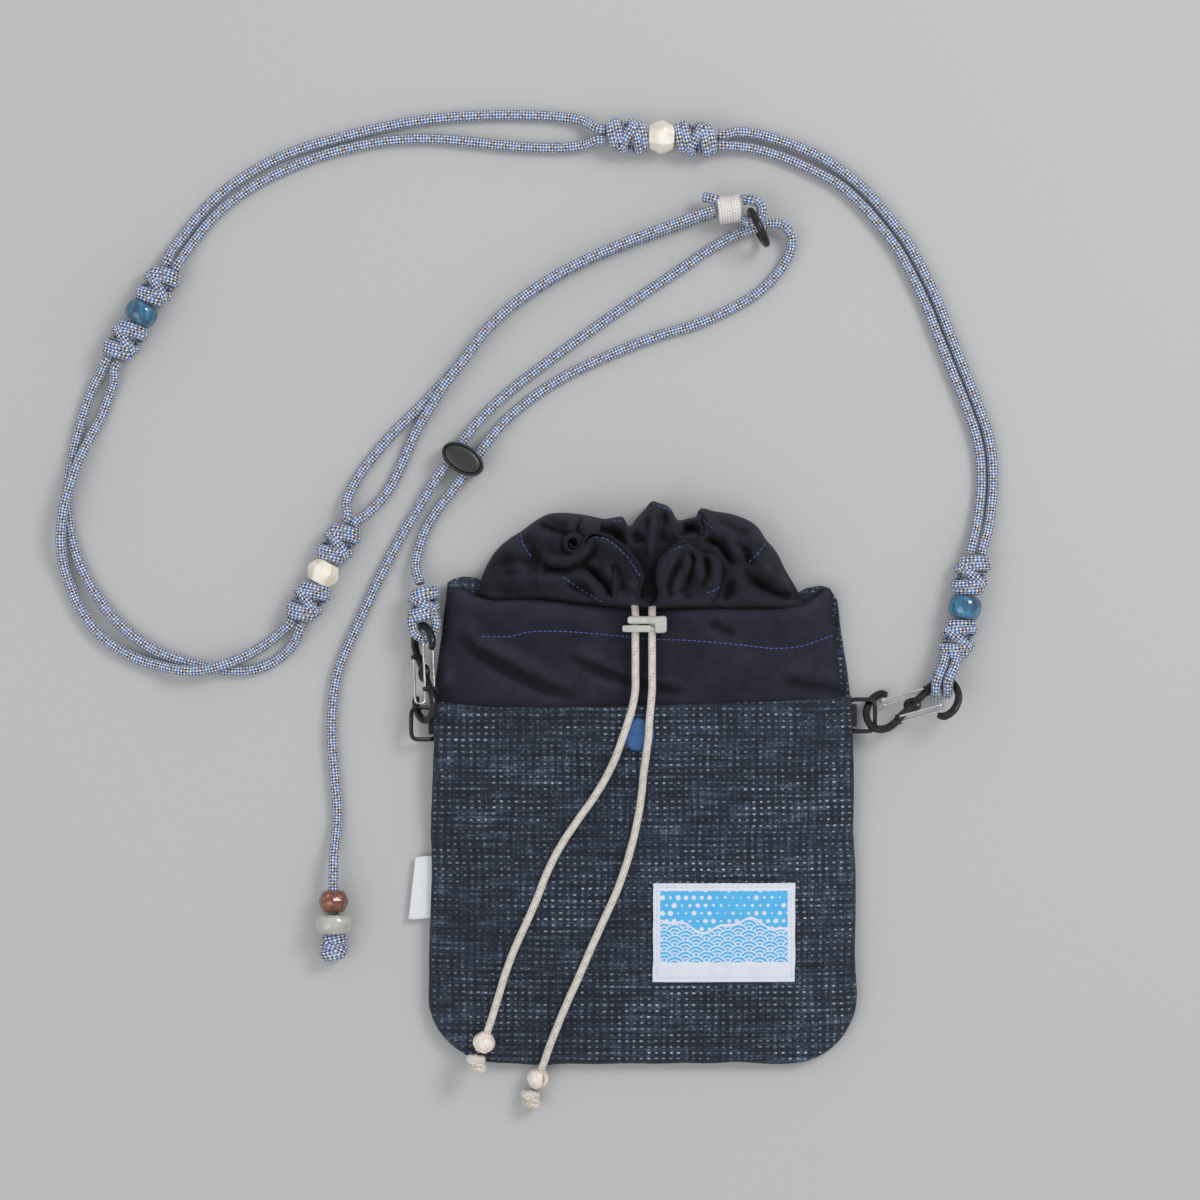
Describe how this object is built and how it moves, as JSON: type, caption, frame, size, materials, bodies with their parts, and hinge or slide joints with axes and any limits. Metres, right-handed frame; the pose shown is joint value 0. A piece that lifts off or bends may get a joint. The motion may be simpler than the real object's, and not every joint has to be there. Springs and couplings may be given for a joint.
{
  "type": "drawstring_pouch",
  "caption": "Drawstring pouch in dark stitched denim and navy cotton, with a gathered collar, beaded cords, a cord lock and a long beaded strap clipped to rings at its sides.",
  "frame": {"origin": "On the flat underside of the back panel, under the middle of the pouch body.", "axes": "X to the wearer's right as the front is seen, Y from the bottom seam towards the mouth, Z out of the front."},
  "size_m": [0.3757, 0.3996, 0.025],
  "materials": {
    "denim": "woven denim with a rice-stitch dash, rough",
    "navy_cotton": "plain cotton, matte",
    "white_cloth": "smooth woven cloth",
    "black_web": "narrow webbing",
    "black_metal": "black coated metal, satin",
    "steel_wire": "bright wire",
    "blue_enamel": "blue painted cap, semi-gloss",
    "cream_cord": "braided cord",
    "pale_wood": "fine smooth wood",
    "grey_plastic": "moulded plastic",
    "strap_cord": "patterned braided cord",
    "waxed_thread": "waxed thread",
    "bone": "polished bone-like",
    "blue_glass": "glazed, glossy",
    "brown_glass": "faceted and glossy",
    "grey_glass": "smoky clear, ribbed",
    "black_plastic": "moulded, satin"
  },
  "bodies": {
    "pouch": {"back_panel": "denim", "pocket_panel": "denim", "inner_bag": "navy_cotton", "front_panel": "navy_cotton", "label_patch": "white_cloth", "side_label": "white_cloth", "left_ring_tab": "black_web", "right_ring_tab": "black_web", "snap_socket": "steel_wire", "snap_stud": "steel_wire", "snap_back_post": "steel_wire", "snap_cap": "blue_enamel", "drawstring_left": "cream_cord", "drawstring_right": "cream_cord", "left_drawstring_knot": "cream_cord", "right_drawstring_knot": "cream_cord", "strand_1_upper": "strap_cord", "strand_1_lower": "strap_cord", "strand_2_over": "strap_cord", "strand_2_under": "strap_cord", "strand_3_outer": "strap_cord", "strand_3_inner": "strap_cord", "strand_4_outer": "strap_cord", "strand_4_inner": "strap_cord", "ivory_bead_left_lower_knot": "strap_cord", "ivory_bead_left_upper_knot": "strap_cord", "blue_bead_left_lower_knot": "strap_cord", "blue_bead_left_upper_knot": "strap_cord", "ivory_bead_top_lower_knot": "strap_cord", "ivory_bead_top_upper_knot": "strap_cord", "blue_bead_right_lower_knot": "strap_cord", "blue_bead_right_upper_knot": "strap_cord", "adjusting_cord": "strap_cord", "left_hook_knot": "strap_cord", "whipped_eye": "strap_cord", "eye_cut_end": "strap_cord", "tail_knot": "strap_cord", "whipping": "waxed_thread"},
    "right_hook": {"right_hook_frame": "black_metal"},
    "left_hook": {"left_hook_frame": "black_metal"},
    "right_inner_gate": {"right_hook_inner_gate": "steel_wire"},
    "right_outer_gate": {"right_hook_outer_gate": "steel_wire"},
    "left_lower_gate": {"left_hook_lower_gate": "steel_wire"},
    "left_upper_gate": {"left_hook_upper_gate": "steel_wire"},
    "right_ring_body": {"right_ring": "black_metal"},
    "left_ring_body": {"left_ring": "black_metal"},
    "lock": {"lock_body": "grey_plastic", "lock_spring": "steel_wire"},
    "button": {"lock_button": "grey_plastic"},
    "adjuster": {"adjuster_body": "black_plastic", "adjuster_face": "black_plastic"},
    "loop_ring_body": {"loop_ring": "black_metal"},
    "left_string_bead": {"left_drawstring_bead": "pale_wood"},
    "right_string_bead": {"right_drawstring_bead": "pale_wood"},
    "ivory_left": {"ivory_bead_left": "bone"},
    "blue_left": {"blue_bead_left": "blue_glass"},
    "ivory_top": {"ivory_bead_top": "bone"},
    "blue_right": {"blue_bead_right": "blue_glass"},
    "brown": {"brown_bead": "brown_glass"},
    "clear": {"clear_bead": "grey_glass"}
  },
  "joints": [
    {"name": "right_inner_gate_press", "type": "hinge", "parent": "right_hook", "child": "right_inner_gate", "pos_m": [0.11299, 0.05223, 0.00672], "axis": [-0.2327, 0.5115, 0.8272], "range_deg": [0, 14], "stiffness_Nm_per_rad": 0.02, "springref_deg": -5.73},
    {"name": "right_outer_gate_press", "type": "hinge", "parent": "right_hook", "child": "right_outer_gate", "pos_m": [0.10161, 0.04097, 0.01048], "axis": [-0.2327, 0.5115, 0.8272], "range_deg": [0, 14], "stiffness_Nm_per_rad": 0.02, "springref_deg": -5.73},
    {"name": "left_lower_gate_press", "type": "hinge", "parent": "left_hook", "child": "left_lower_gate", "pos_m": [-0.08954, 0.0656, 0.00473], "axis": [-0.8829, 0, 0.4695], "range_deg": [0, 14], "stiffness_Nm_per_rad": 0.02, "springref_deg": -5.73},
    {"name": "left_upper_gate_press", "type": "hinge", "parent": "left_hook", "child": "left_upper_gate", "pos_m": [-0.08446, 0.0532, 0.01427], "axis": [-0.8829, 0, 0.4695], "range_deg": [0, 6.5], "stiffness_Nm_per_rad": 0.02, "springref_deg": -5.73},
    {"name": "right_hook_roll", "type": "hinge", "parent": "pouch", "child": "right_hook", "pos_m": [0.1073, 0.0466, 0.0086], "axis": [0.9707, 0.1747, 0.165], "range_deg": [-2, 2]},
    {"name": "left_hook_roll", "type": "hinge", "parent": "pouch", "child": "left_hook", "pos_m": [-0.087, 0.0594, 0.0095], "axis": [0, 1, 0], "range_deg": [-2, 2]},
    {"name": "right_ring_flap", "type": "hinge", "parent": "pouch", "child": "right_ring_body", "pos_m": [0.082, 0.0424, 0.00385], "axis": [0, -1, 0], "range_deg": [-2, 1.5]},
    {"name": "left_ring_flap", "type": "hinge", "parent": "pouch", "child": "left_ring_body", "pos_m": [-0.082, 0.0392, 0.00385], "axis": [0, 1, 0], "range_deg": [-2, 2]},
    {"name": "lock_slide", "type": "slide", "parent": "pouch", "child": "lock", "axis": [0, -1, 0], "range_m": [0, 0.014]},
    {"name": "lock_button_press", "type": "slide", "parent": "lock", "child": "button", "axis": [1, 0, 0], "range_m": [0, 0.0013], "stiffness_N_per_m": 250, "springref_m": -0.002, "deforming": ["lock_spring"]},
    {"name": "adjuster_slide", "type": "slide", "parent": "pouch", "child": "adjuster", "axis": [0.5878, 0.809, 0], "range_m": [-0.003, 0.003]},
    {"name": "loop_ring_turn", "type": "hinge", "parent": "pouch", "child": "loop_ring_body", "pos_m": [0.046, 0.2366, 0.00875], "axis": [0.8988, 0.4384, 0], "continuous": true},
    {"name": "left_string_bead_slide", "type": "slide", "parent": "pouch", "child": "left_string_bead", "axis": [0.3312, 0.9435, 0], "range_m": [0, 0.003]},
    {"name": "right_string_bead_turn", "type": "hinge", "parent": "pouch", "child": "right_string_bead", "pos_m": [-0.0418, -0.1022, 0.0051], "axis": [-0.3197, -0.8591, -0.3996], "continuous": true},
    {"name": "ivory_bead_left_turn", "type": "hinge", "parent": "pouch", "child": "ivory_left", "pos_m": [-0.1273, 0.0993, 0.00675], "axis": [0.4686, 0.8834, 0], "continuous": true},
    {"name": "blue_bead_left_turn", "type": "hinge", "parent": "pouch", "child": "blue_left", "pos_m": [-0.1997, 0.2027, 0.00675], "axis": [0.5192, 0.8547, 0], "continuous": true},
    {"name": "ivory_bead_top_turn", "type": "hinge", "parent": "pouch", "child": "ivory_top", "pos_m": [0.0075, 0.2728, 0.00675], "axis": [0.999, -0.0444, 0], "continuous": true},
    {"name": "blue_bead_right_turn", "type": "hinge", "parent": "pouch", "child": "blue_right", "pos_m": [0.1283, 0.0856, 0.00675], "axis": [0.2095, 0.9778, 0], "continuous": true},
    {"name": "brown_bead_slide", "type": "slide", "parent": "pouch", "child": "brown", "axis": [0, 1, 0], "range_m": [0, 0.006]},
    {"name": "clear_bead_slide", "type": "slide", "parent": "pouch", "child": "clear", "axis": [0, 1, 0], "range_m": [0, 0.006]}
  ],
  "couplings": [
    {"joint": "clear_bead_slide", "follows": "brown_bead_slide", "ratio": 1}
  ]
}
